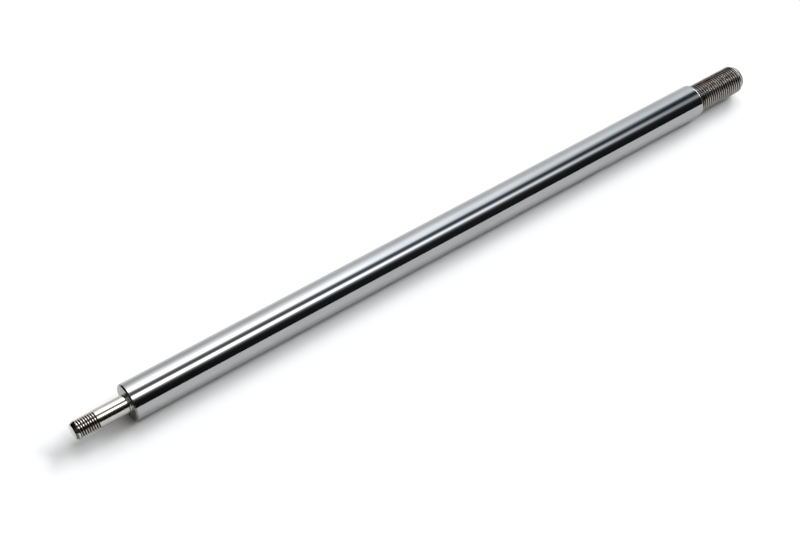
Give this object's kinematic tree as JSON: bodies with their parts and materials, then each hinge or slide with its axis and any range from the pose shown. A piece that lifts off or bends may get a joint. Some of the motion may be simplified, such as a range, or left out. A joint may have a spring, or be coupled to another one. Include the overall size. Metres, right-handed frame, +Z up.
{
  "type": "damper piston rod",
  "caption": "Straight hard-chromed piston rod with a ground seat and fine thread at the piston end and a larger fine thread at the mounting end.",
  "frame": {"origin": "on the rod's axis, in the plane of the annular shoulder at the piston end", "axes": "+X runs along the axis from the piston shoulder to the mounting thread; +Z is up with the rod lying flat; the piston seat and its thread lie at negative X"},
  "size_m": [0.2678, 0.012, 0.012],
  "materials": {
    "turned_steel": "fine turned and ground steel, bare, a little oily in the threads",
    "hard_chrome": "ground and polished hard chrome, mirror bright"
  },
  "bodies": {
    "root": {"rod_core": "turned_steel", "hard_chrome_layer": "hard_chrome"}
  },
  "joints": []
}
